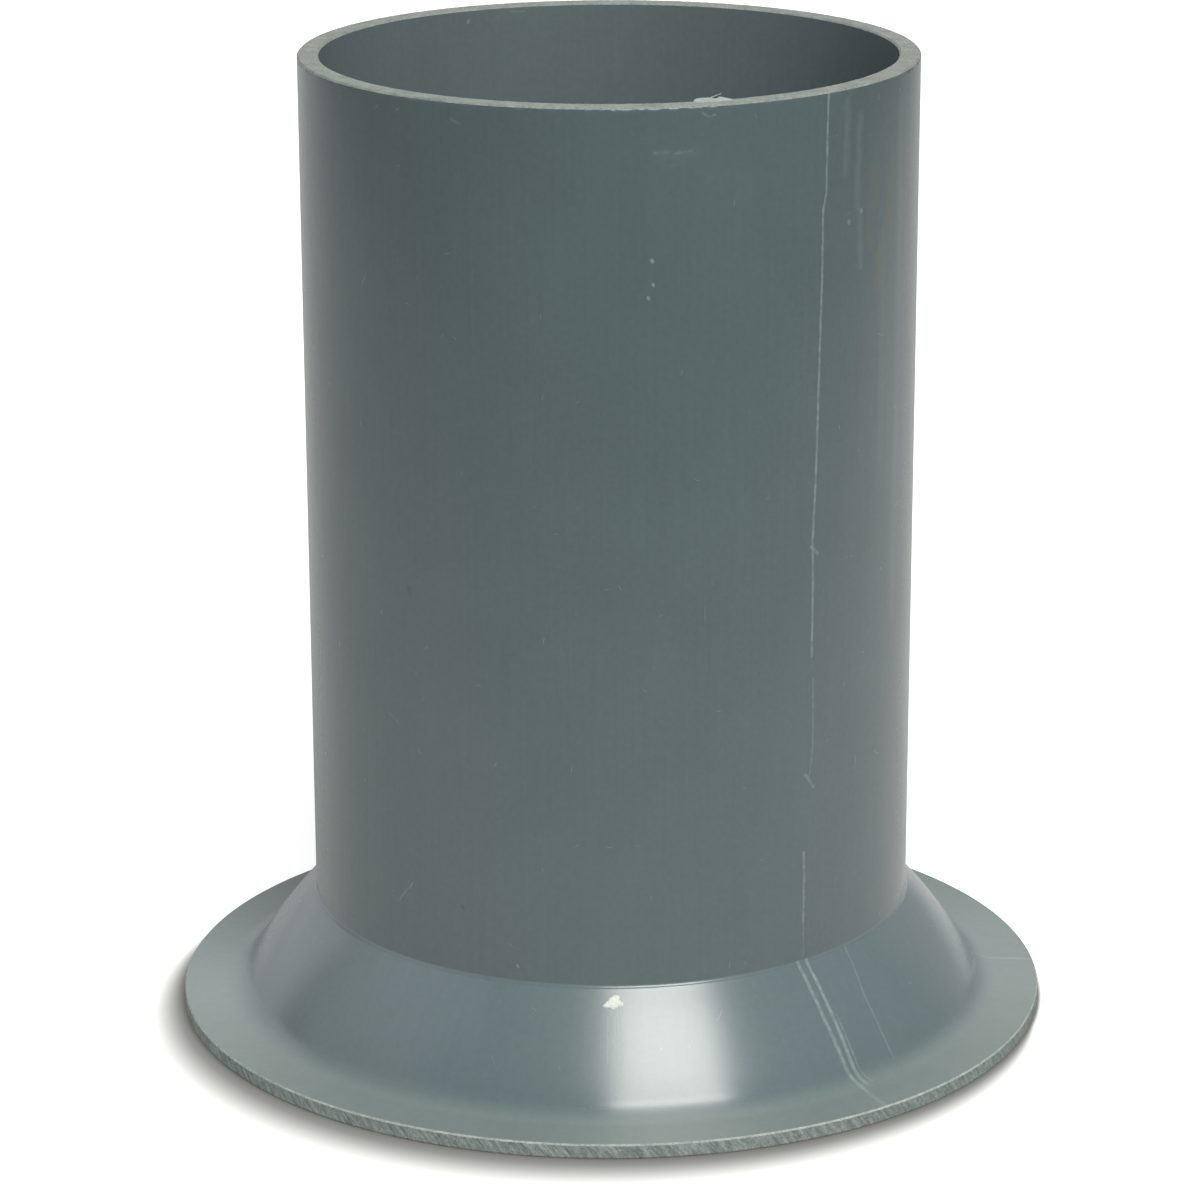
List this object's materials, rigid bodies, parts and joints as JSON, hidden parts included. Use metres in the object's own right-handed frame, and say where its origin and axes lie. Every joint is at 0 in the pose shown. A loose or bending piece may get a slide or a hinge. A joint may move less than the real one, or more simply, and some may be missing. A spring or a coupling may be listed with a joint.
{
  "type": "lap joint stub end",
  "caption": "Short plain plastic pipe with one end formed into a conical skirt and a flat round collar, open right through, for a loose backing flange.",
  "frame": {"origin": "centre of the collar's sealing face, which the part stands on", "axes": "+Z along the pipe's axis, from the sealing face up to the sawn end"},
  "size_m": [0.16, 0.16, 0.177],
  "materials": {
    "grey_pvc_u": "satin, as extruded and heat-formed, with fine scuffs"
  },
  "bodies": {
    "root": {"stub_end": "grey_pvc_u"}
  },
  "joints": []
}
